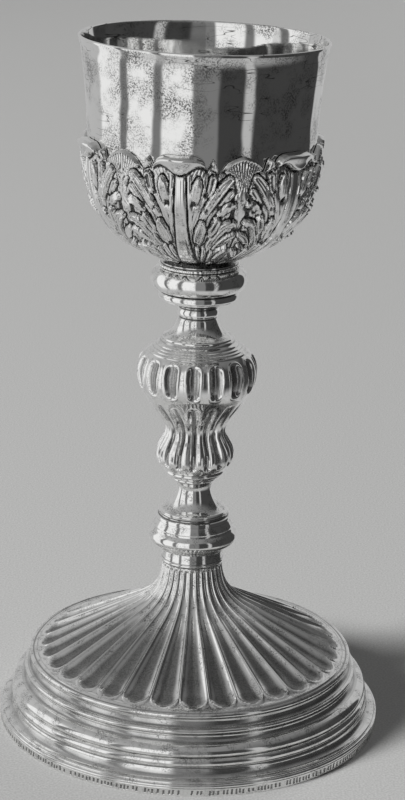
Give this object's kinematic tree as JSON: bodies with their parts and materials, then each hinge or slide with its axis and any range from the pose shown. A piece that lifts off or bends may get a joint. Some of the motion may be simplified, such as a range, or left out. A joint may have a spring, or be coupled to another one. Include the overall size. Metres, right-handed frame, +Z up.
{
  "type": "chalice",
  "caption": "Stemmed silver chalice: plain open cup held in a leaf-worked calyx, fluted vase-shaped knop, spreading fluted foot on a moulded flange.",
  "frame": {"origin": "middle of the circle that the foot stands on", "axes": "+Z up along the axis of the stem; -Y towards the viewer of the picture"},
  "size_m": [0.148, 0.148, 0.265],
  "materials": {
    "cup_silver": "raised sheet silver, polished, with fine hairlines and small dents",
    "calyx_silver": "cast and chased silver, satin, dark tarnish in the hollows",
    "stem_silver": "turned silver, worn polish, tarnish in the grooves",
    "knop_silver": "chased silver, worn polish, tarnish in the flutes",
    "foot_silver": "chased and turned silver, worn polish, tarnish in the flutes and grooves"
  },
  "bodies": {
    "root": {"foot": "foot_silver", "lower_collar": "stem_silver", "lower_neck": "stem_silver", "knop": "knop_silver", "upper_neck": "stem_silver", "upper_collar": "stem_silver", "calyx": "calyx_silver", "cup": "cup_silver"}
  },
  "joints": []
}
